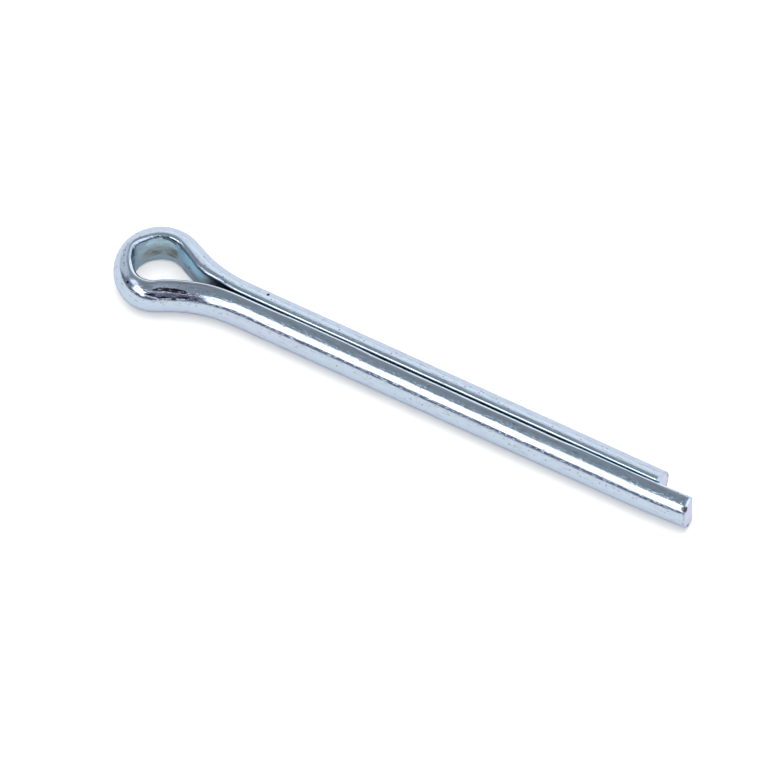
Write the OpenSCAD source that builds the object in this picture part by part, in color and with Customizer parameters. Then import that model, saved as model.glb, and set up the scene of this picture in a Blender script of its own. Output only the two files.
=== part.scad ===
// Cotter pin (split pin): one length of half-round steel wire, folded back on itself
// round an open eye. The flats of its two legs face each other and together make a
// round shank. One leg is left longer, so that the pair can be prised open.
// It lies on its side on z = 0, eye towards -X and tips towards +X, in millimetres.

/* [Wire] */
// diameter of the shank that the two half-round legs make together
wire_diameter = 4.5; // [4.2:0.05:4.7]
// air gap between the flats of the closed legs
leg_gap = 0.1; // [0.08:0.02:0.2]
// radius that the drawn wire has on both edges of its flat
edge_round = 0.4; // [0.25:0.05:0.5]

/* [Eye] */
// inner radius of the head's bend
eye_radius = 2.45; // [2.3:0.05:2.6]
// how far the head's centre lies off the shank's axis, towards the long leg
eye_offset = 0.3; // [0:0.05:0.5]
// turn of the head on the long leg's side, past the crown, before its bend tightens
tight_bend_from = 63; // [45:1:80]
// inner radius of that tighter bend
tight_bend_radius = 1.8; // [1.5:0.05:2.2]

/* [Neck] */
// slope at which the short leg runs in from the eye
short_leg_slope = 28.5; // [25:0.5:32]
// straight run on that slope before the neck's bend
short_leg_run = 0.2; // [0.1:0.05:0.6]
// slope at which the long leg runs in from the eye
long_leg_slope = 30.5; // [27:0.5:34]
// straight run on that slope before the neck's bend
long_leg_run = 0.45; // [0.1:0.05:0.8]

/* [Legs] */
// reach of the short leg, from the eye's centre to its cut end
short_leg_reach = 54.4; // [30:0.2:56]
// how far the long leg stands out past the short one
long_leg_extra = 3.65; // [2:0.05:4]
// angle by which the long leg's end is set in, over the short leg's line
tip_set_angle = 3.3; // [1:0.1:4]
// radius of that slight set
tip_set_radius = 130; // [110:5:200]
// bevel that the shears and the plating leave round each cut end
end_bevel = 0.3; // [0.15:0.05:0.4]

/* [Hidden] */
steel = [0.80, 0.84, 0.88];

wire_radius = wire_diameter / 2;
half_gap = leg_gap / 2;
leg_thickness = wire_radius - half_gap;

// centre of the rounding, on axes through the middle of the flat: x out of it, y up it
round_x = edge_round;
round_y = sqrt(pow(wire_radius - edge_round, 2) - pow(edge_round + half_gap, 2));
// direction from the wire's axis through that centre
round_dir = [edge_round + half_gap, round_y] / (wire_radius - edge_round);
// half the pin's height as it lies, since the rounding takes off what stands highest
half_height = round_y + edge_round;

// centre of the tighter bend, from the shank's axis below the head's centre
tight_shift = eye_radius - tight_bend_radius;
tight_x = -tight_shift * cos(tight_bend_from);
tight_y = eye_offset + tight_shift * sin(tight_bend_from);

// where each leg's inner face leaves the eye: along the shank, and out from its axis
short_leave = [eye_radius * sin(short_leg_slope),
               eye_radius * cos(short_leg_slope) - eye_offset];
long_leave = [tight_x + tight_bend_radius * sin(long_leg_slope),
              tight_y + tight_bend_radius * cos(long_leg_slope)];

// each neck's radius brings the inner face down to half the gap from the axis
short_neck_radius = neck_radius(short_leave, short_leg_slope, short_leg_run);
long_neck_radius = neck_radius(long_leave, long_leg_slope, long_leg_run);
short_shank_x = shank_start(short_leave, short_leg_slope, short_leg_run, short_neck_radius);
long_shank_x = shank_start(long_leave, long_leg_slope, long_leg_run, long_neck_radius);

long_leg_reach = short_leg_reach + long_leg_extra;
tip_set_x = long_leg_reach - end_bevel * cos(tip_set_angle) - tip_set_radius * sin(tip_set_angle);

// the pin's limits, which set it down on the middle of its base
crown_x = -eye_radius - leg_thickness;
tip_x = long_leg_reach + (leg_thickness - end_bevel) * sin(tip_set_angle);
short_side_y = eye_radius + leg_thickness - eye_offset;
long_side_y = tight_y + tight_bend_radius + leg_thickness;

// The pin is drawn at a hundredth of its size and then enlarged, so that each length
// of wire closes on the next one far more finely than the wire itself is made.
fine = 0.01;

function neck_radius(leave, slope, run) =
    (leave[1] - half_gap - run * sin(slope)) / (1 - cos(slope));

function shank_start(leave, slope, run, radius) =
    leave[0] + run * cos(slope) + radius * sin(slope);

// Half-round wire: the flat lies on x = 0 and its back faces +x.
module wire_section() {
    scale(fine)
        difference() {
            intersection() {
                translate([-half_gap, 0])
                    circle(r = wire_radius, $fn = 72);
                translate([0, -wire_radius])
                    square([wire_radius, wire_diameter]);
            }
            edge_waste();
            mirror([0, 1])
                edge_waste();
        }
}

// The sharp corner that the rounding takes off one edge of the flat.
module edge_waste() {
    far = edge_round * 3;
    difference() {
        polygon([
            [round_x, round_y],
            [-far, round_y],
            [-far, round_y + far],
            [round_x + far * round_dir[0], round_y + far * round_dir[1]]
        ]);
        translate([round_x, round_y])
            circle(r = edge_round, $fn = 32);
    }
}

// Lengths of wire. Each starts at the origin with its inner face's middle line on it,
// runs along +x and has its back towards +y. What follows is drawn at its far end.
module straight(length) {
    rotate([90, 0, 90])
        linear_extrude(height = length * fine)
            wire_section();
    translate([length * fine, 0, 0])
        children();
}

// Bends towards the flat, so that the flat is on the inside.
module bend_in(radius, angle) {
    translate([0, -radius * fine, 0])
        rotate([0, 0, -angle]) {
            rotate([0, 0, 90])
                rotate_extrude(angle = angle, $fn = 120)
                    translate([radius * fine, 0])
                        wire_section();
            translate([0, radius * fine, 0])
                children();
        }
}

// Bends towards the back, so that the flat is on the outside.
module bend_out(radius, angle) {
    translate([0, radius * fine, 0]) {
        rotate([0, 0, -90])
            rotate_extrude(angle = angle, $fn = 240)
                translate([radius * fine, 0])
                    mirror([1, 0])
                        wire_section();
        rotate([0, 0, angle])
            translate([0, -radius * fine, 0])
                children();
    }
}

// The last of a leg, with the bevel round its cut end.
module cut_end() {
    intersection() {
        straight(end_bevel);
        scale(fine)
            translate([0, -half_gap, 0])
                rotate([0, 90, 0])
                    cylinder(r1 = wire_radius, r2 = wire_radius - end_bevel, h = end_bevel, $fn = 72);
        scale(fine)
            linear_extrude(height = wire_diameter, center = true)
                polygon([
                    [0, 0],
                    [end_bevel, end_bevel],
                    [end_bevel, wire_diameter],
                    [0, wire_diameter]
                ]);
    }
}

// The short leg, from the eye to its cut end.
module short_leg() {
    straight(short_leg_run)
        bend_out(short_neck_radius, short_leg_slope)
            straight(short_leg_reach - end_bevel - short_shank_x)
                cut_end();
}

// The long leg. Its end is set in by a shallow bend of its own.
module long_leg() {
    straight(long_leg_run)
        bend_out(long_neck_radius, long_leg_slope)
            straight(tip_set_x - long_shank_x)
                bend_in(tip_set_radius, tip_set_angle)
                    cut_end();
}

// The whole wire, from the crown of the head, where it runs straight across the pin.
module wire() {
    bend_in(eye_radius, 90 + short_leg_slope)
        short_leg();
    mirror([1, 0, 0])
        bend_in(eye_radius, tight_bend_from)
            bend_in(tight_bend_radius, 90 + long_leg_slope - tight_bend_from)
                long_leg();
}

module cotter_pin() {
    color(steel)
        translate([-(crown_x + tip_x) / 2, (long_side_y - short_side_y) / 2, half_height])
            scale(1 / fine)
                translate([-eye_radius * fine, -eye_offset * fine, 0])
                    rotate([0, 0, 90])
                        wire();
}

cotter_pin();
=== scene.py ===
import math

import bpy
import numpy as np
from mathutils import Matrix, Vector


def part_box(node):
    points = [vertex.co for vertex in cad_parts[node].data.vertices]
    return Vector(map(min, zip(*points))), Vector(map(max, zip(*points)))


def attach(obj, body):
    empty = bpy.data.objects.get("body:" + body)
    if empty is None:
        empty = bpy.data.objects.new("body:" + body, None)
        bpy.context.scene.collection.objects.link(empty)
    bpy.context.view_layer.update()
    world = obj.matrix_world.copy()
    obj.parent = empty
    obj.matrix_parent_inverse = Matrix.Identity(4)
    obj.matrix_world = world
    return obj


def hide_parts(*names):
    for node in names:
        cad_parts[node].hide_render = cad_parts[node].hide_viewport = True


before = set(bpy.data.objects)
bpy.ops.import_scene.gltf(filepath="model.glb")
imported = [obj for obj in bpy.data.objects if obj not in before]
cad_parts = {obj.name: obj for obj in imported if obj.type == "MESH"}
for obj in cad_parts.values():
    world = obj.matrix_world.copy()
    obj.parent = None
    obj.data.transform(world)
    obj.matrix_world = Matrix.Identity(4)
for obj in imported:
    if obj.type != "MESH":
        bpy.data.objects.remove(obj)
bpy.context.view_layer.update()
mm = 0.001  # lengths are given in millimetres and multiplied by this
print("frame loaded")


# small helpers

def linearColour(code):
    # sRGB hex to the linear colour that a shader wants
    parts = [int(code[i:i + 2], 16) / 255 for i in (1, 3, 5)]
    return [p / 12.92 if p <= 0.04045 else ((p + 0.055) / 1.055) ** 2.4 for p in parts] + [1.0]


def addNode(tree, kind, inputs, **settings):
    # inputs are named or numbered; a socket is linked and anything else is set as a plain value
    node = tree.nodes.new(kind)
    for name, setting in settings.items():
        setattr(node, name, setting)
    for key, item in inputs.items():
        if isinstance(key, str):
            named = [socket for socket in node.inputs if socket.name == key]
            socket = next((one for one in named if one.enabled), named[0])
        else:
            socket = node.inputs[key]
        if isinstance(item, bpy.types.NodeSocket):
            tree.links.new(item, socket)
        else:
            socket.default_value = item
    return node


# the wire's course, as its maker would bend it: flat side on the inside

axisInFrame = (-26.755, 0.2646, 2.1944)  # where the shank's axis meets the head's centre

pinSizes = {
    "wireRadius": 2.25,      # of the round shank that both legs make
    "legGap": 0.10,
    "edgeRound": 0.40,
    "eyeRadius": 2.433,      # inner radius of the head
    "eyeShift": -0.292,      # head's centre off the shank's axis
    "tightFrom": 63.9,       # degrees past the crown where the long leg's side tightens
    "tightRadius": 1.677,
    "shortSlope": 24.59, "shortRun": 1.162,
    "longSlope": 28.92, "longRun": 0.757,
    "shortReach": 54.44, "longReach": 58.11,
    "setLength": 7.5, "setRadius": 130.0,  # the long leg's end is set in, over the short leg's line
}
capSteps, capStep = 4, 0.01  # rings by which each cut face closes on its middle, and their spacing


def legCourse(sizes, side):
    # stretches of the inner face from the crown to the cut end: length, then turn in radians
    headRadius, centreY = sizes["eyeRadius"], sizes["eyeShift"] * side
    if side > 0:
        slope, run, reach = math.radians(sizes["shortSlope"]), sizes["shortRun"], sizes["shortReach"]
        bends = [(headRadius, math.pi / 2 + slope)]
    else:
        slope, run, reach = math.radians(sizes["longSlope"]), sizes["longRun"], sizes["longReach"]
        first = math.radians(sizes["tightFrom"])
        bends = [(headRadius, first), (sizes["tightRadius"], math.pi / 2 + slope - first)]
    x, y, heading = -headRadius, centreY, math.pi / 2
    for radius, turn in bends:
        x += radius * (math.sin(heading) - math.sin(heading - turn))
        y += radius * (math.cos(heading - turn) - math.cos(heading))
        heading -= turn
    neck = (y - sizes["legGap"] / 2 - run * math.sin(slope)) / (1 - math.cos(slope))
    straightFrom = x + run * math.cos(slope) + neck * math.sin(slope)
    stretches = [(radius * turn, -turn, "head") for radius, turn in bends]
    stretches += [(run, 0.0, "neck"), (neck * slope, slope, "neck")]
    if side > 0:
        stretches += [(reach - straightFrom, 0.0, "shank")]
    else:
        setTurn = sizes["setLength"] / sizes["setRadius"]
        setFrom = reach - sizes["setRadius"] * math.sin(setTurn)
        stretches += [(setFrom - straightFrom, 0.0, "shank"), (sizes["setLength"], -setTurn, "shank")]
    return stretches


def walkLeg(sizes, side, steps, endRound):
    # points along one leg, drawn on +y and mirrored for the long leg
    x, y, heading = -sizes["eyeRadius"], sizes["eyeShift"] * side, math.pi / 2
    total = sum(length for length, _, _ in legCourse(sizes, side))
    points, done = [(x, y)], 0.0
    for length, turn, part in legCourse(sizes, side):
        marks = list(np.linspace(0, length, max(2, math.ceil(length / steps[part]) + 1))[1:])
        if done + length > total - 1e-6:  # the cut end gets close rings for its rounding
            quarter = np.linspace(0, math.pi / 2, steps["endRings"])
            ring = [length - endRound + endRound * math.sin(a) for a in quarter]
            marks = [m for m in marks if m < ring[0] - steps["endClear"]] + ring
            marks += [length + capStep * k for k in range(1, capSteps + 1)]
        for at in marks:
            if abs(turn) < 1e-9:
                points.append((x + at * math.cos(heading), y + at * math.sin(heading)))
            else:
                radius, a = length / turn, turn * at / length
                points.append((x + radius * (math.sin(heading + a) - math.sin(heading)),
                               y - radius * (math.cos(heading + a) - math.cos(heading))))
        x, y = points[-1]
        heading += turn
        done += length
    return [(px, py * side) for px, py in points]


courseSteps = {"head": 0.08, "neck": 0.16, "shank": 0.5,  # greatest spacing of the rings
               "endRings": 9, "endClear": 0.1}            # and those of a cut end's rounding
endRound = 0.30  # greatest rounding of the cut ends
longSide = walkLeg(pinSizes, -1, courseSteps, endRound)
shortSide = walkLeg(pinSizes, 1, courseSteps, endRound)
course = longSide[::-1] + shortSide[1:]

courseData = bpy.data.curves.new("wireCourse", "CURVE")
courseData.dimensions = "3D"
spline = courseData.splines.new("POLY")
spline.points.add(len(course) - 1)
for point, (x, y) in zip(spline.points, course):
    point.co = (x * mm, y * mm, 0.0, 1.0)
courseObject = bpy.data.objects.new("wireCourse", courseData)
bpy.context.scene.collection.objects.link(courseObject)
print("wire's course:", len(course), "points")


# the half-round section, swept along the course by Geometry Nodes

weldReach = 0.002 * mm  # the section's arcs and flat are joined where their ends lie this close


def sweepTree():
    tree = bpy.data.node_groups.new("halfRoundWire", "GeometryNodeTree")
    face = tree.interface
    face.new_socket("Geometry", in_out="INPUT", socket_type="NodeSocketGeometry")
    for name, key in (("Wire Radius", "wireRadius"), ("Leg Gap", "legGap"), ("Edge Round", "edgeRound")):
        socket = face.new_socket(name, in_out="INPUT", socket_type="NodeSocketFloat")
        socket.default_value = pinSizes[key] * mm
    for name, default in (("Back Points", 64), ("Edge Points", 14), ("Face Points", 24)):
        socket = face.new_socket(name, in_out="INPUT", socket_type="NodeSocketInt")
        socket.default_value = default
    face.new_socket("Finish", in_out="INPUT", socket_type="NodeSocketMaterial")
    face.new_socket("Geometry", in_out="OUTPUT", socket_type="NodeSocketGeometry")
    ins = tree.nodes.new("NodeGroupInput").outputs
    outs = tree.nodes.new("NodeGroupOutput").inputs

    # centres of the two edge rounds, and the angle at which they meet the round back
    radius, edge = ins["Wire Radius"], ins["Edge Round"]
    halfGap = addNode(tree, "ShaderNodeMath", {0: ins["Leg Gap"], 1: 0.5}, operation="MULTIPLY").outputs[0]
    backX = addNode(tree, "ShaderNodeMath", {0: halfGap, 1: -1.0}, operation="MULTIPLY").outputs[0]
    reach = addNode(tree, "ShaderNodeMath", {0: radius, 1: edge}, operation="SUBTRACT").outputs[0]
    across = addNode(tree, "ShaderNodeMath", {0: edge, 1: halfGap}, operation="ADD").outputs[0]
    reach = addNode(tree, "ShaderNodeMath", {0: reach, 1: reach}, operation="MULTIPLY").outputs[0]
    squared = addNode(tree, "ShaderNodeMath", {0: across, 1: across}, operation="MULTIPLY").outputs[0]
    rise = addNode(tree, "ShaderNodeMath", {0: reach, 1: squared}, operation="SUBTRACT").outputs[0]
    rise = addNode(tree, "ShaderNodeMath", {0: rise}, operation="SQRT").outputs[0]
    drop = addNode(tree, "ShaderNodeMath", {0: rise, 1: -1.0}, operation="MULTIPLY").outputs[0]
    lean = addNode(tree, "ShaderNodeMath", {0: rise, 1: across}, operation="ARCTAN2").outputs[0]
    minusLean = addNode(tree, "ShaderNodeMath", {0: lean, 1: -1.0}, operation="MULTIPLY").outputs[0]
    doubleLean = addNode(tree, "ShaderNodeMath", {0: lean, 1: 2.0}, operation="MULTIPLY").outputs[0]
    edgeTurn = addNode(tree, "ShaderNodeMath", {0: math.pi, 1: lean}, operation="SUBTRACT").outputs[0]
    backPlace = addNode(tree, "ShaderNodeCombineXYZ", {"X": backX}).outputs[0]
    topPlace = addNode(tree, "ShaderNodeCombineXYZ", {"X": edge, "Y": rise}).outputs[0]
    lowPlace = addNode(tree, "ShaderNodeCombineXYZ", {"X": edge, "Y": drop}).outputs[0]

    # the section: two edge rounds, the back and the flat, joined into one closed outline
    arcs = []
    for points, size, start, turn, centre in (
            (ins["Edge Points"], edge, -math.pi, edgeTurn, lowPlace),
            (ins["Back Points"], radius, minusLean, doubleLean, backPlace),
            (ins["Edge Points"], edge, lean, edgeTurn, topPlace)):
        arc = addNode(tree, "GeometryNodeCurveArc",
                      {"Resolution": points, "Radius": size, "Start Angle": start, "Sweep Angle": turn},
                      mode="RADIUS").outputs[0]
        moved = addNode(tree, "GeometryNodeTransform", {"Geometry": arc, "Translation": centre})
        arcs.append(moved.outputs[0])
    flatStart = addNode(tree, "ShaderNodeCombineXYZ", {"Y": rise}).outputs[0]
    flatEnd = addNode(tree, "ShaderNodeCombineXYZ", {"Y": drop}).outputs[0]
    flat = addNode(tree, "GeometryNodeCurvePrimitiveLine", {"Start": flatStart, "End": flatEnd}).outputs[0]
    flat = addNode(tree, "GeometryNodeResampleCurve", {"Curve": flat, "Count": ins["Face Points"]}).outputs[0]
    joined = addNode(tree, "GeometryNodeJoinGeometry", {})
    for piece in [flat] + arcs:
        tree.links.new(piece, joined.inputs[0])
    outline = addNode(tree, "GeometryNodeCurveToMesh", {0: joined.outputs[0]}).outputs[0]
    outline = addNode(tree, "GeometryNodeMergeByDistance",
                      {"Geometry": outline, "Distance": weldReach}).outputs[0]
    outline = addNode(tree, "GeometryNodeMeshToCurve", {0: outline}).outputs[0]
    position = addNode(tree, "GeometryNodeInputPosition", {}).outputs[0]
    outline = addNode(tree, "GeometryNodeStoreNamedAttribute",
                      {"Geometry": outline, "Name": "section", "Value": position},
                      data_type="FLOAT_VECTOR", domain="POINT").outputs[0]
    outline = addNode(tree, "GeometryNodeTransform",
                      {"Geometry": outline, "Rotation": (0.0, 0.0, math.pi)}).outputs[0]

    # swept along the course, whose length each point keeps
    length = addNode(tree, "GeometryNodeSplineParameter", {}).outputs["Length"]
    path = addNode(tree, "GeometryNodeStoreNamedAttribute",
                   {"Geometry": ins["Geometry"], "Name": "along", "Value": length},
                   data_type="FLOAT", domain="POINT").outputs[0]
    path = addNode(tree, "GeometryNodeSetCurveNormal", {"Curve": path}, mode="Z_UP").outputs[0]
    swept = addNode(tree, "GeometryNodeCurveToMesh",
                    {"Curve": path, "Profile Curve": outline, "Fill Caps": True}).outputs[0]
    real = addNode(tree, "GeometryNodeRealizeInstances", {"Geometry": swept}).outputs[0]
    done = addNode(tree, "GeometryNodeSetMaterial", {"Geometry": real, "Material": ins["Finish"]}).outputs[0]
    tree.links.new(done, outs[0])
    return tree


plate = {
    "colour": "#C5D5E6", "roughness": 0.11, "sheen": "#EDEFFF",
    # each layer: pattern's length along the wire and breadth across it in mm, its detail and shift,
    # the part of the pattern's range that counts, and then a colour, a height in mm or a roughness
    "layers": (
        # where the passivate turns lilac
        {"pattern": (5.0, 1.4), "detail": 3, "shift": 3.1, "range": (0.48, 0.74), "share": 0.6,
         "colour": "#CACFE5", "where": "outer"},
        # stains drawn out along the wire
        {"pattern": (1.3, 0.28), "detail": 3, "shift": 7.7, "range": (0.57, 0.68), "share": 0.40,
         "colour": "#B09DA9"},
        # fine unevenness
        {"pattern": (0.9, 0.5), "detail": 4, "shift": 2.3, "range": (0.35, 0.70), "share": 0.16,
         "colour": "#A9BCCB"},
        # painted shade on the head's inner wall, uneven and a little rougher, with painted light on its upper
        # part and on a low band, a painted teal reflection, and deeper painted shade low in the neck
        {"pattern": (1.5, 0.5), "detail": 1, "shift": 0.5, "range": (0.10, 0.30), "share": 1.0,
         "colour": "#A2BBC8", "rough": 0.13, "where": "boreShade"},
        {"pattern": (1.0, 0.4), "detail": 3, "shift": 5.2, "range": (0.30, 0.62), "share": 1.0,
         "colour": "#C0DEEC", "where": "borePaintedLight"},
        {"pattern": (1.2, 0.5), "detail": 3, "shift": 7.1, "range": (0.25, 0.60), "share": 1.0,
         "colour": "#8CD0EA", "where": "boreTealReflection"},
        {"pattern": (1.6, 0.6), "detail": 4, "shift": 0.8, "range": (0.20, 0.60), "share": 0.95,
         "colour": "#728691", "where": "boreDeepShade"},
        # rubbed by the tool that bent it
        {"pattern": (0.8, 0.5), "detail": 4, "shift": 1.3, "range": (0.16, 0.52), "share": 0.65,
         "colour": "#A5ACAC", "rough": 0.12, "where": "graze"},
        {"pattern": (1.5, 0.9), "detail": 6, "shift": 3.9, "range": (0.36, 0.61), "share": 0.8,
         "colour": "#696D69", "where": "graze"},
        # painted shade under the lip
        {"pattern": (1.2, 0.4), "detail": 2, "shift": 8.8, "range": (0.10, 0.45), "share": 0.9,
         "colour": "#3F5560", "where": "underLipShade"},
        # painted shade in the split between the legs, and a painted blue-green reflection at its open end
        {"pattern": (2.0, 0.5), "detail": 1, "shift": 4.4, "range": (-0.30, 0.50), "share": 1.0,
         "colour": "#3A4A48", "where": "split"},
        {"pattern": (2.0, 0.6), "detail": 1, "shift": 6.3, "range": (-0.30, 0.50), "share": 1.0,
         "colour": "#5F9CAC", "where": "splitEnd"},
        # painted dark reflection along the galled streaks at the bend; their raised relief is a height layer
        # below
        {"pattern": (0.6, 0.20), "detail": 5, "shift": 6.0, "range": (0.33, 0.50), "share": 1.0,
         "colour": "#33343D", "where": "galledDarkReflection"},
        # the flat's edge, warmer along the long leg, and a painted highlight on the edge's round beside it
        {"pattern": (2.5, 0.5), "detail": 2, "shift": 9.4, "range": (0.25, 0.55), "share": 0.75,
         "colour": "#B8A49C", "where": "edgeLine"},
        {"pattern": (3.0, 0.5), "detail": 1, "shift": 2.9, "range": (0.10, 0.30), "share": 1.0,
         "colour": "#E2EEF6", "where": "edgeHighlight"},
        # the cut faces, sheared and so duller, and the line round them
        {"pattern": (0.5, 0.4), "detail": 3, "shift": 1.9, "range": (0.10, 0.30), "share": 1.0,
         "colour": "#D9DCE8", "rough": 0.25, "where": "cut"},
        {"pattern": (0.5, 0.4), "detail": 3, "shift": 1.9, "range": (0.30, 0.55), "share": 0.8,
         "colour": "#8E7D80", "where": "cutLine"},
        # relief: slow unevenness, draw lines, small hollows, what the galling raised, and a scuff beside it
        {"pattern": (2.2, 0.6), "detail": 2, "shift": 0.0, "range": (0.0, 1.0), "share": 1.0,
         "height": 0.0045},
        {"pattern": (7.0, 0.17), "detail": 1, "shift": 5.0, "range": (0.0, 1.0), "share": 1.0,
         "height": 0.004},
        {"pattern": (0.34, 0.13), "detail": 2, "shift": 9.0, "range": (0.56, 0.70), "share": 1.0,
         "height": -0.0045},
        {"pattern": (0.42, 0.13), "detail": 3, "shift": 2.0, "range": (0.38, 0.62), "share": 1.0,
         "height": 0.035, "where": "crumple"},
        {"pattern": (1.1, 0.13), "detail": 3, "shift": 6.6, "range": (0.50, 0.66), "share": 1.0,
         "height": 0.009, "where": "scuff"},
    ),
    # single pits and marks: place along, across and up the wire, reach along and across it, and colour
    "pits": (
        ((15.2, 1.26, 1.83), (0.15, 0.26), "#060608"),     # black pit on the short leg
        ((10.9, 0.22, 2.15), (0.08, 0.12), "#25252C"),
        ((6.2, 0.0, -0.05), (0.10, 0.30), "#1B2024"),      # two crossing marks in the eye's wall
        ((6.4, 0.0, 0.06), (0.26, 0.09), "#1B2024"),
        ((-62.41, 1.38, -1.42), (0.50, 0.25), "#08080A"),  # pit at the foot of the long leg's cut
        ((-62.22, 1.42, 1.66), (0.42, 0.34), "#50525C"),   # dark curl, a painted dark reflection where the bright band meets the cut's rounding
        ((2.31, 0.05, 1.97), (0.10, 0.16), "#0C1214"),     # the lip's nick
        ((-14.9, 0.44, 2.19), (0.06, 0.06), "#B07A60"),
        ((-2.67, 1.26, 1.84), (0.10, 0.15), "#202430"),
    ),
    # specks: cell and size in mm, and the random numbers between which a speck goes from none to full
    "speck": {"cell": 0.30, "size": 0.068, "chosen": (0.34, 0.44), "colour": "#6B6063", "share": 0.55,
              "height": -0.010, "spread": 1.6, "edge": (-0.01, 0.05)},
    "pitEdge": (1.1, 0.7),  # a pit's border, from none to full, as shares of its reach
}


def zincPlatedSteel():
    # bright zinc plate under a clear blue passivate, on cold-drawn low-carbon steel wire:
    # a blue-grey mirror gone a little soft, with draw lines along the wire and small brown specks
    material = bpy.data.materials.new("zincPlatedSteel")
    material.use_nodes = True
    tree = material.node_tree
    tree.nodes.clear()
    spot = addNode(tree, "ShaderNodeAttribute", {}, attribute_name="wireSpot").outputs["Vector"]

    # small pits and specks, one to a cell, and only in some cells
    speck = plate["speck"]
    placed = addNode(tree, "ShaderNodeMapping", {"Vector": spot, "Scale": [1 / (speck["cell"] * mm)] * 3})
    cells = addNode(tree, "ShaderNodeTexVoronoi",
                    {"Vector": placed.outputs[0], "Scale": 1.0, "Randomness": 1.0})
    chance = addNode(tree, "ShaderNodeSeparateColor", {0: cells.outputs["Color"]}).outputs
    widest = speck["spread"] * speck["size"] / speck["cell"]
    reach = addNode(tree, "ShaderNodeMath", {0: chance[1], 1: widest}, operation="MULTIPLY").outputs[0]
    inside = addNode(tree, "ShaderNodeMath", {0: reach, 1: cells.outputs["Distance"]},
                     operation="SUBTRACT").outputs[0]
    none, full = speck["edge"]
    inside = addNode(tree, "ShaderNodeMapRange", {"Value": inside, "From Min": none, "From Max": full},
                     interpolation_type="SMOOTHSTEP").outputs[0]
    none, full = speck["chosen"]
    chosen = addNode(tree, "ShaderNodeMapRange",
                     {"Value": chance[0], "From Min": none, "From Max": full}).outputs[0]
    specks = addNode(tree, "ShaderNodeMath", {0: inside, 1: chosen}, operation="MULTIPLY").outputs[0]
    share = addNode(tree, "ShaderNodeMath", {0: specks, 1: speck["share"]}, operation="MULTIPLY").outputs[0]
    colour = addNode(tree, "ShaderNodeMix", {"Factor": share, "A": linearColour(plate["colour"]),
                                             "B": linearColour(speck["colour"])}, data_type="RGBA").outputs[2]
    height = addNode(tree, "ShaderNodeMath", {0: specks, 1: speck["height"]}, operation="MULTIPLY").outputs[0]
    rough = plate["roughness"]

    for layer in plate["layers"]:
        length, breadth = [1 / (size * mm) for size in layer["pattern"]]
        placed = addNode(tree, "ShaderNodeMapping", {"Vector": spot, "Scale": (length, breadth, breadth),
                                                     "Location": [layer["shift"]] * 3}).outputs[0]
        value = addNode(tree, "ShaderNodeTexNoise",
                        {"Vector": placed, "Scale": 1.0, "Detail": layer["detail"]}).outputs[0]
        low, high = layer["range"]
        if "where" in layer:  # the pattern frays the border of the place
            where = addNode(tree, "ShaderNodeAttribute", {}, attribute_name=layer["where"]).outputs["Fac"]
            value = addNode(tree, "ShaderNodeMath", {0: value, 1: where}, operation="ADD").outputs[0]
            low, high = low + 1, high + 1
        share = addNode(tree, "ShaderNodeMapRange", {"Value": value, "From Min": low, "From Max": high,
                                                     "To Max": layer["share"]},
                        interpolation_type="SMOOTHSTEP").outputs[0]
        if "colour" in layer:
            colour = addNode(tree, "ShaderNodeMix",
                             {"Factor": share, "A": colour, "B": linearColour(layer["colour"])},
                             data_type="RGBA").outputs[2]
        if "height" in layer:
            height = addNode(tree, "ShaderNodeMath", {0: share, 1: layer["height"], 2: height},
                             operation="MULTIPLY_ADD").outputs[0]
        if "rough" in layer:
            rough = addNode(tree, "ShaderNodeMath", {0: share, 1: layer["rough"], 2: rough},
                            operation="MULTIPLY_ADD").outputs[0]
    none, full = plate["pitEdge"]
    for place, (length, breadth), code in plate["pits"]:
        away = addNode(tree, "ShaderNodeVectorMath", {0: spot, 1: [at * mm for at in place]},
                       operation="SUBTRACT").outputs[0]
        scale = [1 / (size * mm) for size in (length, breadth, breadth)]
        away = addNode(tree, "ShaderNodeVectorMath", {0: away, 1: scale}, operation="MULTIPLY").outputs[0]
        away = addNode(tree, "ShaderNodeVectorMath", {0: away}, operation="LENGTH").outputs["Value"]
        share = addNode(tree, "ShaderNodeMapRange",
                        {"Value": away, "From Min": none, "From Max": full}).outputs[0]
        colour = addNode(tree, "ShaderNodeMix", {"Factor": share, "A": colour, "B": linearColour(code)},
                         data_type="RGBA").outputs[2]
    bump = addNode(tree, "ShaderNodeBump", {"Height": height, "Strength": 1.0, "Distance": mm})
    shader = addNode(tree, "ShaderNodeBsdfPrincipled",
                     {"Normal": bump.outputs[0], "Base Color": colour, "Roughness": rough, "Metallic": 1.0,
                      "Specular Tint": linearColour(plate["sheen"])})
    addNode(tree, "ShaderNodeOutputMaterial", {"Surface": shader.outputs[0]})
    return material


zincPlate = zincPlatedSteel()
sweep = courseObject.modifiers.new("halfRoundWire", "NODES")
sweep.node_group = sweepTree()
given = {"Wire Radius": pinSizes["wireRadius"] * mm, "Leg Gap": pinSizes["legGap"] * mm,
         "Edge Round": pinSizes["edgeRound"] * mm, "Finish": zincPlate}
for item in sweep.node_group.interface.items_tree:
    if item.in_out == "INPUT" and item.name in given:
        sweep[item.identifier] = given[item.name]
depsgraph = bpy.context.evaluated_depsgraph_get()
pinMesh = bpy.data.meshes.new_from_object(courseObject.evaluated_get(depsgraph), depsgraph=depsgraph)
courseObject.modifiers.clear()
bpy.data.objects.remove(courseObject)
print("wire swept:", len(pinMesh.vertices), "points")


# forms that the sweep alone doesn't give

half, edge = pinSizes["legGap"] / 2, pinSizes["edgeRound"]
thickness = pinSizes["wireRadius"] - half
hair = 1e-4  # mm; nearer than this counts as on a face or an edge


def edgeMeets(rounding):
    # height at which a round edge leaves the flat face, and its angle where it meets the back
    rise = np.sqrt((pinSizes["wireRadius"] - rounding) ** 2 - (rounding + half) ** 2)
    return rise, np.arctan2(rise, rounding + half)


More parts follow.
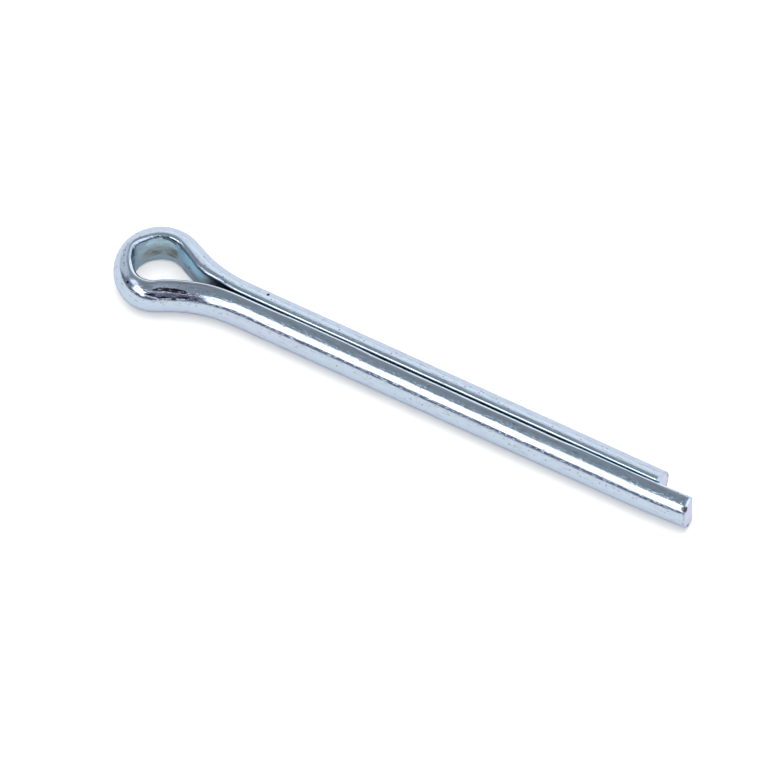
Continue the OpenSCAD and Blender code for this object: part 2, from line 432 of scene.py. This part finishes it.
def sectionNormals(w, z):
    # outward direction of the half-round section at each of its points
    rise, _ = edgeMeets(edge)
    nw, nz = w + half, z.copy()
    onFlat = w < hair
    onEdge = (~onFlat) & (np.hypot(w - edge, np.abs(z) - rise) < edge + hair)
    nw = np.where(onEdge, w - edge, nw)
    nz = np.where(onEdge, z - np.sign(z) * rise, nz)
    nw, nz = np.where(onFlat, -1.0, nw), np.where(onFlat, 0.0, nz)
    size = np.hypot(nw, nz)
    return nw / size, nz / size


def smooth(value):
    # from nothing to one with a gentle start and end
    return value * value * (3 - 2 * value)


def swell(s, humps):
    # sum of smooth humps, each falling to nothing at its reach
    total = 0
    for middle, reach, amount in humps:
        total = total + amount * (0.5 + 0.5 * np.cos(np.pi * np.clip(np.abs(s - middle) / reach, 0, 1)))
    return total


def plateau(s, low, high, soft):
    # one between low and high, with a soft edge centred on each
    return smooth(np.clip(np.minimum(s - low, high - s) / soft + 0.5, 0, 1))


count = len(pinMesh.vertices)
place = np.empty(count * 3, dtype=np.float32)
pinMesh.vertices.foreach_get("co", place)
place = place.reshape(-1, 3).astype(float) / mm
along = np.empty(count, dtype=np.float32)
pinMesh.attributes["along"].data.foreach_get("value", along)
along = along.astype(float) / mm
section = np.empty(count * 3, dtype=np.float32)
pinMesh.attributes["section"].data.foreach_get("vector", section)
section = section.reshape(-1, 3).astype(float) / mm
w, z = section[:, 0], section[:, 1]  # mm out from the flat face, and height about the wire's axis

line = np.array(course)
strides = np.hypot(*np.diff(line, axis=0).T)
lengthAt = np.concatenate([[0], np.cumsum(strides)])
heading = np.gradient(line, axis=0)
heading /= np.hypot(*heading.T)[:, None]
outX = np.interp(along, lengthAt, -heading[:, 1])
outY = np.interp(along, lengthAt, heading[:, 0])

# the bend has thinned the wire round the crown, more at its top, and left its inner top edge
# sharper on the far side and bevelled on the near one
# places along the wire are in mm from the crown, the short leg's side positive; a negative depth is fuller
headForms = {
    "thinTop": ((-0.9, 3.2, 0.42), (1.6, 2.6, 0.20), (3.6, 2.2, 0.14),   # place, reach and depth
                (0.45, 1.0, 0.20), (-1.5, 1.4, -0.18), (8.1, 2.4, -0.21)),
    "thinLow": ((-0.4, 3.0, 0.26),),
    "sharper": ((2.9, 2.4, 0.55), (-2.4, 3.0, -0.4)),  # share of the edge's round lost, or won if negative
    "bevel": ((0.8, 2.2, 0.25), (4.6, 3.0, 0.3)),
    "twist": 1.9, "twistReach": 7.9,  # degrees at the head's centre, and how far beyond it they fade out
}

# where the shank's own evenness begins, either way from the crown, and how the legs lie there
# the narrow split leaves too little room for the long leg's set: the two faces cross by up to 0.04 mm
# over the short leg's last 1.8 mm
legForms = {
    "from": 9.0, "soft": 4.0,
    "longEdge": 0.25, "shortEdge": -0.3,    # how much rounder or sharper the inner edges are
    "longFace": 0.02, "shortFace": -0.085,  # how far each inner face stands back, forward where negative
    "pinch": ((-26.5, -18.0, 3.5), (-60.0, -49.5, 4.0)),  # stretches where the long leg comes closer
    "pinched": 0.02, "pinchedEdge": 0.8,    # by how much, and the share of its rounder edge that goes there
}

rise, lean = edgeMeets(edge)
crownAt = sum(length for length, _, _ in legCourse(pinSizes, -1)) + capSteps * capStep
s = along - crownAt
nw, nz = sectionNormals(w, z)

# the section again with an inner top edge whose round changes along the wire
onShank = smooth(np.clip((np.abs(s) - legForms["from"]) / legForms["soft"], 0, 1))
pinched = sum(plateau(s, *stretch) for stretch in legForms["pinch"])
longEdge = legForms["longEdge"] * (1 - legForms["pinchedEdge"] * pinched)
rounder = onShank * np.where(s < 0, longEdge, legForms["shortEdge"])
newEdge = edge * (1 - swell(s, headForms["sharper"]) + rounder)
newRise, newLean = edgeMeets(newEdge)
backEndW = -half + pinSizes["wireRadius"] * math.cos(lean)
onTopEdge = (z > rise - hair) & (w < backEndW + hair) & (w > hair)
turn = np.arctan2(z - rise, w - edge)
newTurn = np.pi - (np.pi - turn) * (np.pi - newLean) / (np.pi - lean)
onTopFlat = (w <= hair) & (z > 0)
onTopBack = (z > 0) & (~onTopEdge) & (~onTopFlat)
backTurn = np.arctan2(z, w + half) * newLean / lean
formW, formZ = w.copy(), z.copy()
formZ = np.where(onTopFlat, z * newRise / rise, formZ)
formW = np.where(onTopEdge, newEdge + newEdge * np.cos(newTurn), formW)
formZ = np.where(onTopEdge, newRise + newEdge * np.sin(newTurn), formZ)
formW = np.where(onTopBack, -half + pinSizes["wireRadius"] * np.cos(backTurn), formW)
formZ = np.where(onTopBack, pinSizes["wireRadius"] * np.sin(backTurn), formZ)

# and its bevel
chordW, chordZ = newEdge + newEdge * np.cos(newLean), newEdge * np.sin(newLean)
chordSize = np.hypot(chordW, chordZ)
reachAlong = (formW * chordW + (formZ - newRise) * chordZ) / chordSize
flatten = swell(s, headForms["bevel"]) * onTopEdge
formW = formW + (reachAlong * chordW / chordSize - formW) * flatten
formZ = formZ + (newRise + reachAlong * chordZ / chordSize - formZ) * flatten

# a ragged lip raised on the inner top edge of the far side, with one nick
lip = {"from": -0.4, "to": 3.6, "fade": 0.5, "size": 0.17, "raise": 0.03, "pitch": 0.13, "least": 0.25,
       "across": 0.10, "up": 0.11,  # reach on either side of the edge
       "nickAt": 2.42, "nickReach": 0.16, "nick": 0.22, "nickDrop": 0.7}
draw = np.random.default_rng(11)
knots = np.arange(lip["from"] - 1, lip["to"] + 1.5, lip["pitch"])  # a little past the lip, either way
ragged = np.interp(s, knots, draw.uniform(lip["least"], 1.0, len(knots)))
within = np.clip((s - lip["from"]) / lip["fade"], 0, 1) * np.clip((lip["to"] - s) / lip["fade"], 0, 1)
nearEdge = np.exp(-((formW / lip["across"]) ** 2 + ((formZ - newRise - lip["raise"]) / lip["up"]) ** 2))
nick = swell(s, ((lip["nickAt"], lip["nickReach"], lip["nick"]),))
formW = formW - (lip["size"] * ragged * within - nick) * nearEdge
formZ = formZ + (lip["raise"] * ragged * within - lip["nickDrop"] * nick) * nearEdge

upper = np.clip((1 + formZ / rise) / 2, 0, 1)
hollow = swell(s, headForms["thinTop"]) * upper + swell(s, headForms["thinLow"]) * (1 - upper)
hollow = hollow + onShank * np.where(s < 0, legForms["longFace"], legForms["shortFace"])
hollow = hollow - legForms["pinched"] * pinched
formW = formW + hollow * (1 - formW / thickness)

# cut ends, rounded over by the shear and left a little full
cutEnds = {
    "longRound": 0.12, "shortRound": 0.05, "topRound": 0.17,  # rounding, and what the top adds to it
    "topFrom": 2.2,                        # height at which the top has all of that
    "longFlat": 0.3, "longFlatReach": 0.6,     # the long leg's flat edge has this share of the rounding
    "shortBack": 1.2, "shortBackReach": 1.6,   # the short leg's top is less rounded towards its back
    "cutCorner": 0.8,                      # the shear has cut the top corner off nearly straight
    "middle": 0.95, "leftOpen": 0.15,      # where the cut face closes, and what the sweep's cap fills
    "lowest": 2.25, "slantFrom": 1.4,      # the long leg's cut slants out below, away from the flat
    "slant": 0.20, "slantReach": 2.5,
    "lift": 0.10, "liftFrom": 48.0, "liftReach": 12.0,  # and its underside lifts a little
}
total = lengthAt[-1]
capDepth = capSteps * capStep
fromEnd = np.minimum(along, total - along)
intoCap = np.clip(capDepth - fromEnd, 0, None) / capStep
topward = np.clip(z / cutEnds["topFrom"], 0, 1) ** 2
flatShare = cutEnds["longFlat"] + (1 - cutEnds["longFlat"]) * np.clip(w / cutEnds["longFlatReach"], 0, 1)
backShare = np.clip(cutEnds["shortBack"] - w / cutEnds["shortBackReach"], 0, 1)
roundHere = np.where(s < 0, (cutEnds["longRound"] + cutEnds["topRound"] * topward) * flatShare,
                     cutEnds["shortRound"] + cutEnds["topRound"] * topward * backShare)
fromEdge = np.clip(roundHere - (fromEnd - capDepth), 0, roundHere)
inset = roundHere - np.sqrt(np.clip(roundHere ** 2 - fromEdge ** 2, 0, None))
inset = inset + (cutEnds["cutCorner"] * fromEdge - inset) * topward
newW, newZ = formW - nw * inset, formZ - nz * inset
shrink = 1 - np.round(intoCap) / (capSteps + cutEnds["leftOpen"])
newW = cutEnds["middle"] + (newW - cutEnds["middle"]) * shrink
newZ = newZ * shrink
place[:, 0] += outX * (newW - w)
place[:, 1] += outY * (newW - w)
below = np.clip(-newZ / cutEnds["lowest"], 0, 1) * np.clip(newW / cutEnds["slantFrom"], 0, 1) * (s < 0)
place[:, 0] += cutEnds["slant"] * below * np.clip(1 - (fromEnd - capDepth) / cutEnds["slantReach"], 0, 1)
liftHere = np.clip((-s - cutEnds["liftFrom"]) / cutEnds["liftReach"], 0, 1)
place[:, 2] = newZ + cutEnds["lift"] * below * liftHere

# the head is a little twisted out of the legs' plane
twistReach = headForms["twistReach"]
twist = math.radians(headForms["twist"]) * np.clip((twistReach - place[:, 0]) / twistReach, 0, 1)
y0, z0 = place[:, 1].copy(), place[:, 2].copy()
place[:, 1] = y0 * np.cos(twist) - z0 * np.sin(twist)
place[:, 2] = y0 * np.sin(twist) + z0 * np.cos(twist)

# from the shank's axis to the frame's own place
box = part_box("cotter_pin")
place += np.array(axisInFrame)
pinMesh.vertices.foreach_set("co", (place * mm).astype(np.float32).ravel())
solidSize = [round((high - low) / mm, 2) for low, high in zip(*box)]
print("pin shaped, over a solid of", solidSize, "mm")


# where each finish, painted shade, painted light and painted reflection lies, one for each spot: its stretch
# along the wire and up it, as low, high and softness, whether it keeps within or beyond a distance out from
# the flat face, and the height it is over
finishSpots = (
    # painted light, painted shade and a painted teal reflection on the head's inner wall
    {"name": "borePaintedLight", "within": 0.05, "along": (1.0, 5.2, 1.2), "up": (0.45, 1.75, 0.4)},
    {"name": "borePaintedLight", "within": 0.05, "along": (1.0, 5.2, 1.2), "up": (-2.4, -1.2, 0.3), "share": 0.75},
    {"name": "boreDeepShade", "within": 0.05, "along": (4.8, 14.0, 2.0), "up": (-2.6, 0.1, 0.6)},
    {"name": "boreTealReflection", "within": 0.05, "along": (4.2, 8.8, 1.2), "up": (0.1, 2.0, 0.5)},
    {"name": "graze", "within": 0.01, "along": (0.3, 4.9, 1.8), "up": (-1.3, 0.75, 0.8), "over": "graze"},
    # painted shade under the lip
    {"name": "underLipShade", "within": 0.1, "along": (2.75, 4.3, 0.4), "up": (-0.70, 0.17, 0.2), "over": "edge"},
    {"name": "underLipShade", "within": 0.1, "along": (0.1, 9.0, 0.6), "up": (-0.15, 0.17, 0.1), "over": "edge",
     "share": 0.75},
    {"name": "crumple", "beyond": 0.6, "along": (-7.8, -3.5, 0.6), "up": (-0.18, -0.05, 0.06),
     "over": "galledTop"},
    {"name": "crumple", "beyond": 0.6, "along": (-7.8, -3.5, 0.6), "up": (-0.26, -0.08, 0.08),
     "over": "galledLow"},
    {"name": "scuff", "beyond": 0.6, "along": (-12.0, -7.4, 1.2), "up": (1.5, 1.85, 0.15)},
    # painted dark reflection along the galled streaks
    {"name": "galledDarkReflection", "beyond": 0.5, "along": (-7.9, -4.0, 1.0), "up": (-0.16, 0.15, 0.14),
     "over": "galledTop"},
    {"name": "galledDarkReflection", "beyond": 0.5, "along": (-9.0, -3.4, 0.8), "up": (-0.16, 0.14, 0.16),
     "over": "galledLow", "share": 0.95},
    {"name": "galledDarkReflection", "beyond": 0.5, "along": (-7.0, -4.5, 0.6), "up": (-0.34, 0.0, 0.1),
     "over": "galledLow", "share": 0.88},
)
# finishes that follow the whole wall, the split, the flat's edge or the cut: painted shade on the wall and in
# the split, a painted reflection at the split's open end, and a painted highlight on the edge's round
finishRuns = {
    # painted shade over the head's whole inner wall
    "boreShade": {"along": (-14, 14, 8), "fade": 0.35, "overEdge": 0.2},
    # painted shade in the split between the legs
    "split": {"fade": 0.2, "overEdge": 0.1, "from": 6.4, "soft": 4.2, "to": 59.0, "toSoft": 1.5},
    # painted blue-green reflection at the split's open end
    "splitEnd": {"within": 0.04, "above": -1.0, "from": 47.0, "soft": 6.0},
    "outer": (1.35, 3.0, 0.5),
    "edgeLine": {"along": (-60, 2.0, 1.5), "hump": (0.0, 0.22, 1.0)},
    # painted highlight on the long leg's edge round
    "edgeHighlight": {"along": (-60, -1.0, 1.5), "hump": (0.9, 1.2, 1.0)},
    "cutLine": {"at": 0.4, "hump": (0.0, 0.12, 1.0), "below": 1.7, "beyond": 0.4},
}
# heights that the spots are measured from
heights = {
    "edge": newRise,
    "graze": -0.3 * np.clip(2.4 - s, 0, 2),           # the rubbed place drops towards the crown
    "galledTop": 1.88 + 0.050 * (s + 5.6),            # two galled streaks
    "galledLow": 1.40 + 0.42 * np.clip(s + 4.7, 0, 1),
}


def finishMasks():
    # how much of each finish, painted shade, painted light and painted reflection every point has
    masks = {}
    for finish in finishSpots:
        kept = w < finish["within"] if "within" in finish else w > finish["beyond"]
        height = z - heights[finish["over"]] if "over" in finish else z
        here = finish.get("share", 1.0) * kept * plateau(s, *finish["along"]) * plateau(height, *finish["up"])
        masks[finish["name"]] = np.maximum(masks.get(finish["name"], 0), here)
    # painted shade over the head's inner wall
    run = finishRuns["boreShade"]
    masks["boreShade"] = np.clip(1 - w / run["fade"], 0, 1) * (z < rise + run["overEdge"])
    masks["boreShade"] *= plateau(s, *run["along"])
    # painted shade in the split between the legs
    run = finishRuns["split"]
    masks["split"] = np.clip(1 - w / run["fade"], 0, 1) * (z < rise + run["overEdge"])
    masks["split"] *= np.clip((np.abs(s) - run["from"]) / run["soft"], 0, 1)
    masks["split"] *= np.clip((s + run["to"]) / run["toSoft"], 0, 1)
    # painted blue-green reflection at the split's open end
    run = finishRuns["splitEnd"]
    opening = np.clip((s - run["from"]) / run["soft"], 0, 1)
    masks["splitEnd"] = (w < run["within"]) * (z > run["above"]) * opening
    masks["outer"] = plateau(w, *finishRuns["outer"])
    run = finishRuns["edgeLine"]
    fromBack = np.where(onTopEdge, newTurn - newLean, w - backEndW)
    masks["edgeLine"] = plateau(s, *run["along"]) * (z > 0) * swell(fromBack, (run["hump"],))
    # painted highlight on the long leg's edge round
    run = finishRuns["edgeHighlight"]
    masks["edgeHighlight"] = plateau(s, *run["along"]) * onTopEdge * swell(newTurn - newLean, (run["hump"],))
    run = finishRuns["cutLine"]
    fromLine = fromEnd - capDepth - roundHere * run["at"]
    masks["cutLine"] = swell(fromLine, (run["hump"],)) * (z < run["below"]) * (w > run["beyond"])
    masks["cut"] = onCut * 1.0
    return masks


onCut = intoCap > 0.5
for name, values in finishMasks().items():
    mask = pinMesh.attributes.new(name, "FLOAT", "POINT")
    mask.data.foreach_set("value", np.clip(values, 0, 1).astype(np.float32))
spot = np.stack([s, np.where(onCut, newW, w), np.where(onCut, newZ, z)], axis=1)
wireSpot = pinMesh.attributes.new("wireSpot", "FLOAT_VECTOR", "POINT")
wireSpot.data.foreach_set("vector", (spot * mm).astype(np.float32).ravel())
pinMesh.update()
pinMesh.polygons.foreach_set("use_smooth", [True] * len(pinMesh.polygons))

pin = bpy.data.objects.new("cotterPin", pinMesh)
bpy.context.scene.collection.objects.link(pin)
print("pin:", len(pinMesh.polygons), "faces")
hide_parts("cotter_pin")
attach(pin, "root")


# floor, surroundings and camera

studio = {
    # what lights the floor: an even dome and a lamp overhead
    "dome": 0.62, "zenith": 3.4, "zenithReach": 24, "zenithSoft": 4,
    # what the metal sees: a grey ceiling, white walls and the cards and lamps before them
    "overhead": "#A0A3A8", "walls": "#FFFFFF", "overheadReach": (56.0, 65.0),
    "patches": (
        # azimuth and tilt from the zenith in degrees, softness of each, colour, strength
        {"azimuth": (50, 130), "tilt": (57, 90), "soft": (12, 3), "colour": "#FFFFFF", "light": 1.0},
        {"azimuth": (70, 130), "tilt": (64, 78), "soft": (14, 5), "colour": "#FFFFFF", "light": 1.16},
        {"azimuth": (150, 205), "tilt": (38, 105), "soft": (8, 5), "colour": "#DADCE0", "light": 1.0},
        {"azimuth": (270, 302), "tilt": (48, 92), "soft": (4, 5), "colour": "#6E6276", "light": 1.0},
        {"azimuth": (196, 300), "tilt": (71.5, 88), "soft": (6, 2), "colour": "#6A6E80", "light": 1.0},
        {"azimuth": (190, 272), "tilt": (12, 47), "soft": (15, 5), "colour": "#90989C", "light": 1.0},
        {"azimuth": (284, 310), "tilt": (4, 27), "soft": (5, 4), "colour": "#BFC3CA", "light": 1.0},
        {"azimuth": (258, 300), "tilt": (84, 91), "soft": (3, 2), "colour": "#6A6E80", "light": 1.0},
        {"azimuth": (205, 236), "tilt": (57, 80), "soft": (5, 4), "colour": "#80838E", "light": 1.0},
        {"azimuth": (214, 236), "tilt": (32, 54), "soft": (6, 5), "colour": "#F2F2FF", "light": 1.5},
        {"azimuth": (240, 271), "tilt": (46.5, 70.5), "soft": (4, 1.2), "colour": "#FFFFFF", "light": 3.0},
        {"azimuth": (240, 249), "tilt": (41.5, 60), "soft": (3, 1.2), "colour": "#FFFFFF", "light": 3.0},
        {"azimuth": (259, 271), "tilt": (60, 75.5), "soft": (3, 1.2), "colour": "#FFFFFF", "light": 3.0},
        {"azimuth": (307, 388), "tilt": (51, 73), "soft": (6, 4), "colour": "#F4F4FF", "light": 1.5},
        {"azimuth": (300, 314), "tilt": (30, 48), "soft": (4, 3), "colour": "#FFFFFF", "light": 1.5},
        {"azimuth": (26, 101), "tilt": (26, 60), "soft": (3.5, 6), "colour": "#E4EEF4", "light": 1.12},
    ),
    "floor": "#EFEEEC", "floorLift": 0.30, "floorGlow": 0.02, "floorReach": 1.5,  # reach in metres
}


def floorFinish():
    # matt white paper; the small lift lets the open floor reach plain white
    material = bpy.data.materials.new("whitePaper")
    material.use_nodes = True
    tree = material.node_tree
    tree.nodes.clear()
    ray = addNode(tree, "ShaderNodeLightPath", {}).outputs
    other = addNode(tree, "ShaderNodeMath", {0: ray["Is Glossy Ray"], 1: ray["Is Transmission Ray"]},
                    operation="ADD").outputs[0]
    lift = addNode(tree, "ShaderNodeMath", {0: ray["Is Camera Ray"], 1: studio["floorLift"]},
                   operation="MULTIPLY").outputs[0]
    lift = addNode(tree, "ShaderNodeMath", {0: other, 1: studio["floorGlow"], 2: lift},
                   operation="MULTIPLY_ADD").outputs[0]
    glow = addNode(tree, "ShaderNodeEmission", {"Strength": lift})
    paper = addNode(tree, "ShaderNodeBsdfDiffuse", {"Color": linearColour(studio["floor"])})
    both = addNode(tree, "ShaderNodeAddShader", {0: glow.outputs[0], 1: paper.outputs[0]})
    addNode(tree, "ShaderNodeOutputMaterial", {"Surface": both.outputs[0]})
    return material


floorMesh = bpy.data.meshes.new("floor")
floorReach = studio["floorReach"]
corners = [(x * floorReach, y * floorReach, 0) for x, y in ((-1, -1), (1, -1), (1, 1), (-1, 1))]
floorMesh.from_pydata(corners, [], [(0, 1, 2, 3)])
floorMesh.materials.append(floorFinish())
floor = bpy.data.objects.new("floor", floorMesh)
bpy.context.scene.collection.objects.link(floor)


def surroundings():
    # two skies: the metal sees the cards and lamps, and all else is lit by an even dome and the lamp
    perRadian = 180 / math.pi  # degrees
    world = bpy.data.worlds.new("softStudio")
    world.use_nodes = True
    world.cycles.sampling_method = "NONE"
    tree = world.node_tree
    tree.nodes.clear()
    ray = addNode(tree, "ShaderNodeLightPath", {}).outputs
    direction = addNode(tree, "ShaderNodeTexCoord", {}).outputs["Generated"]
    height = addNode(tree, "ShaderNodeSeparateXYZ", {0: direction}).outputs["Z"]
    tilt = addNode(tree, "ShaderNodeMath", {0: height}, operation="ARCCOSINE").outputs[0]
    tilt = addNode(tree, "ShaderNodeMath", {0: tilt, 1: perRadian}, operation="MULTIPLY").outputs[0]
    low, high = studio["overheadReach"]
    wall = addNode(tree, "ShaderNodeMapRange", {"Value": tilt, "From Min": low, "From Max": high},
                   interpolation_type="SMOOTHSTEP").outputs[0]
    seen = addNode(tree, "ShaderNodeMix", {"Factor": wall, "A": linearColour(studio["overhead"]),
                                           "B": linearColour(studio["walls"])}, data_type="RGBA").outputs[2]
    for patch in studio["patches"]:
        middle = sum(patch["azimuth"]) / 2
        span = patch["azimuth"][1] - middle
        sideSoft, tiltSoft = patch["soft"]
        turned = addNode(tree, "ShaderNodeVectorRotate",
                         {"Vector": direction, "Angle": math.radians(-middle)},
                         rotation_type="Z_AXIS").outputs[0]
        parts = addNode(tree, "ShaderNodeSeparateXYZ", {0: turned}).outputs
        azimuth = addNode(tree, "ShaderNodeMath", {0: parts["Y"], 1: parts["X"]},
                          operation="ARCTAN2").outputs[0]
        azimuth = addNode(tree, "ShaderNodeMath", {0: azimuth, 1: perRadian}, operation="MULTIPLY").outputs[0]
        aside = addNode(tree, "ShaderNodeMath", {0: azimuth}, operation="ABSOLUTE").outputs[0]
        share = 1.0
        for value, none, full in ((aside, span + sideSoft, span - sideSoft),
                                  (tilt, patch["tilt"][0] - tiltSoft, patch["tilt"][0] + tiltSoft),
                                  (tilt, patch["tilt"][1] + tiltSoft, patch["tilt"][1] - tiltSoft)):
            within = addNode(tree, "ShaderNodeMapRange", {"Value": value, "From Min": none, "From Max": full},
                             interpolation_type="SMOOTHSTEP").outputs[0]
            share = addNode(tree, "ShaderNodeMath", {0: within, 1: share}, operation="MULTIPLY").outputs[0]
        colour = [part * patch["light"] for part in linearColour(patch["colour"])]
        seen = addNode(tree, "ShaderNodeMix", {"Factor": share, "A": seen, "B": colour},
                       data_type="RGBA").outputs[2]
    reach, soft = studio["zenithReach"], studio["zenithSoft"]
    lit = addNode(tree, "ShaderNodeMapRange",
                  {"Value": tilt, "From Min": reach + soft, "From Max": reach - soft,
                   "To Min": studio["dome"], "To Max": studio["dome"] + studio["zenith"]}).outputs[0]
    forMetal = addNode(tree, "ShaderNodeBackground", {"Color": seen})
    forFloor = addNode(tree, "ShaderNodeBackground", {"Strength": lit, "Color": (1, 1, 1, 1)})
    plain = addNode(tree, "ShaderNodeBackground", {"Color": (1, 1, 1, 1)})
    inside = addNode(tree, "ShaderNodeMixShader",
                     {0: ray["Is Glossy Ray"], 1: forFloor.outputs[0], 2: forMetal.outputs[0]})
    whole = addNode(tree, "ShaderNodeMixShader",
                    {0: ray["Is Camera Ray"], 1: inside.outputs[0], 2: plain.outputs[0]})
    addNode(tree, "ShaderNodeOutputWorld", {"Surface": whole.outputs[0]})
    bpy.context.scene.world = world


surroundings()

view = {"around": 28.0876, "above": 58.0041, "pixelsPerMm": 10.3187, "lens": 1500.0, "sensor": 36.0,
        "imageSize": 770, "axisX": 161.9865, "axisY": 268.3806,  # the head's centre, in pixels from top left
        "aimAhead": 6.5, "nearest": 0.1, "farthest": 10.0}       # aim in mm, reach of the view in metres
around, above = math.radians(view["around"]), math.radians(view["above"])
toCamera = Vector((math.cos(above) * math.sin(around), -math.cos(above) * math.cos(around), math.sin(above)))
rightward = Vector((math.cos(around), math.sin(around), 0))
upward = toCamera.cross(rightward)
middle = view["imageSize"] / 2
aim = (rightward * (middle - view["axisX"]) / view["pixelsPerMm"]
       - upward * (middle - view["axisY"]) / view["pixelsPerMm"] + toCamera * view["aimAhead"])
distance = view["lens"] * (view["imageSize"] / view["pixelsPerMm"]) / view["sensor"]
cameraData = bpy.data.cameras.new("camera")
cameraData.lens = view["lens"]
cameraData.sensor_width = view["sensor"]
cameraData.clip_start, cameraData.clip_end = view["nearest"], view["farthest"]
camera = bpy.data.objects.new("camera", cameraData)
camera.location = (aim + toCamera * distance + Vector(axisInFrame)) * mm
camera.rotation_euler = toCamera.to_track_quat("Z", "Y").to_euler()
bpy.context.scene.collection.objects.link(camera)
bpy.context.scene.camera = camera
bpy.context.scene.view_settings.view_transform = "Standard"
print("stage and camera placed")
